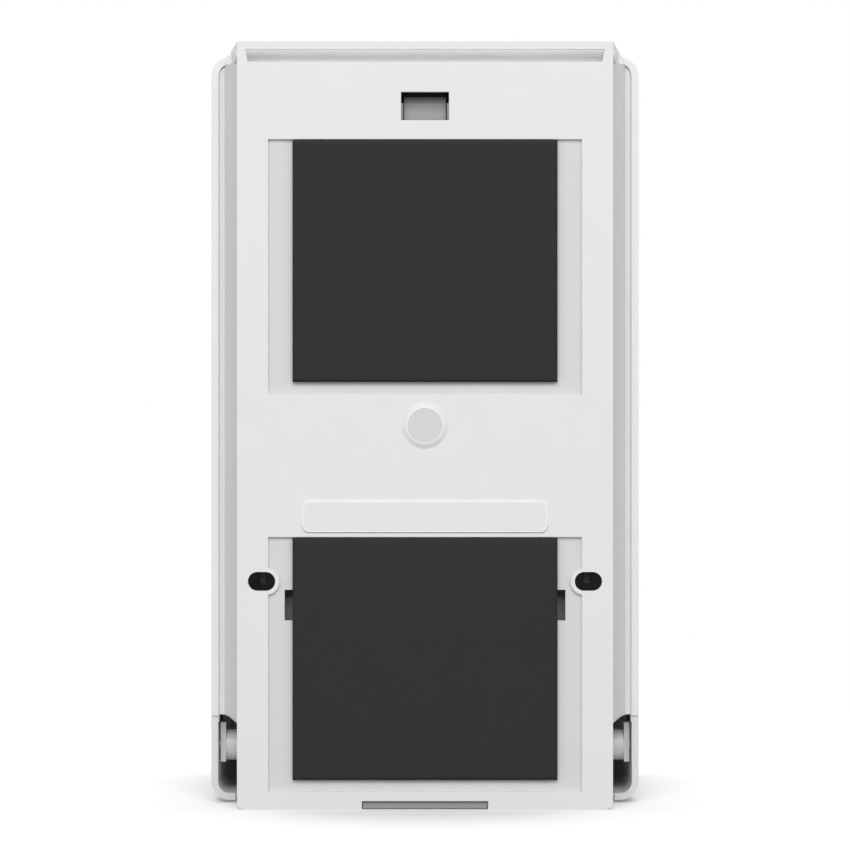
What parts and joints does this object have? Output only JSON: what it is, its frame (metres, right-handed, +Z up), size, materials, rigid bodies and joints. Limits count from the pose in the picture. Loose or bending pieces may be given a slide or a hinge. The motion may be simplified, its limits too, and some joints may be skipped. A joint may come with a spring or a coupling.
{
  "type": "hand sanitizer dispenser",
  "caption": "White wall-mounted hand sanitizer dispenser with a hinged front cover, a push bar, a sight window, foam pads on its back and an upright refill over a pump.",
  "frame": {"origin": "the middle of the back in the wall plane, on the flat disc of the round button between the two foam pads", "axes": "+X to the right for someone who faces the front, +Y into the wall, +Z up"},
  "size_m": [0.1332, 0.1139, 0.235],
  "materials": {
    "white_abs": "matte, finely textured",
    "cover_abs": "satin",
    "bar_abs": "satin",
    "grey_abs": "matte",
    "black_foam": "closed-cell foam",
    "grip_rubber": "soft matte",
    "smoked_window": "clear, lightly smoked",
    "natural_pe": "translucent",
    "cap_plastic": "matte",
    "pump_plastic": "smooth",
    "seal_rubber": "matte",
    "zinc_steel": "zinc plated",
    "spring_steel": "drawn wire"
  },
  "bodies": {
    "chassis": {"rear_housing": "white_abs", "foam_pad_upper": "black_foam", "foam_pad_lower": "black_foam", "hinge_pin_left": "zinc_steel", "hinge_pin_right": "zinc_steel", "pump_cradle": "grey_abs", "cradle_screw_lower_left": "zinc_steel", "cradle_screw_lower_right": "zinc_steel", "cradle_screw_upper_left": "zinc_steel", "cradle_screw_upper_right": "zinc_steel", "lever_axle": "zinc_steel", "latch_pin": "zinc_steel", "latch_spring": "spring_steel", "refill_bottle": "natural_pe", "bottle_collar": "cap_plastic", "neck_gasket": "seal_rubber", "pump_body": "pump_plastic", "inlet_ball": "zinc_steel", "pump_spring": "spring_steel"},
    "cover": {"front_cover": "cover_abs", "sight_window": "smoked_window", "cover_catch": "grey_abs", "catch_screw_left": "zinc_steel", "catch_screw_right": "zinc_steel"},
    "push_bar": {"push_bar": "bar_abs", "push_pad": "grip_rubber"},
    "lift_lever": {"lift_lever": "grey_abs"},
    "plunger": {"pump_plunger": "pump_plastic", "piston_seal": "seal_rubber", "nozzle_tip": "grey_abs"},
    "latch": {"latch_lever": "grey_abs"},
    "release_button": {"release_button": "white_abs"}
  },
  "joints": [
    {"name": "cover_hinge", "type": "hinge", "parent": "chassis", "child": "cover", "pos_m": [0, -0.031, -0.1004], "axis": [1, 0, 0], "range_deg": [0, 82]},
    {"name": "push_bar_pivot", "type": "hinge", "parent": "cover", "child": "push_bar", "pos_m": [0, -0.031, -0.1004], "axis": [-1, 0, 0], "range_deg": [0, 6]},
    {"name": "lift_lever_pivot", "type": "hinge", "parent": "chassis", "child": "lift_lever", "pos_m": [0, -0.016, -0.094], "axis": [-1, 0, 0], "range_deg": [0, 4.6]},
    {"name": "plunger_slide", "type": "slide", "parent": "chassis", "child": "plunger", "axis": [0, 0, 1], "range_m": [0, 0.0034], "stiffness_N_per_m": 400, "springref_m": -0.01, "deforming": ["pump_spring"]},
    {"name": "button_slide", "type": "slide", "parent": "chassis", "child": "release_button", "axis": [0, 0, -1], "range_m": [0, 0.00157], "stiffness_N_per_m": 300, "springref_m": -0.002, "deforming": ["latch_spring"]},
    {"name": "latch_pivot", "type": "hinge", "parent": "chassis", "child": "latch", "pos_m": [0, -0.031, 0.0985], "axis": [-1, 0, 0], "range_deg": [0, 10]}
  ],
  "couplings": [
    {"joint": "lift_lever_pivot", "follows": "push_bar_pivot", "ratio": 0.76562},
    {"joint": "plunger_slide", "follows": "push_bar_pivot", "m_per_rad": 0.032156},
    {"joint": "latch_pivot", "follows": "button_slide", "rad_per_m": 111.1}
  ]
}
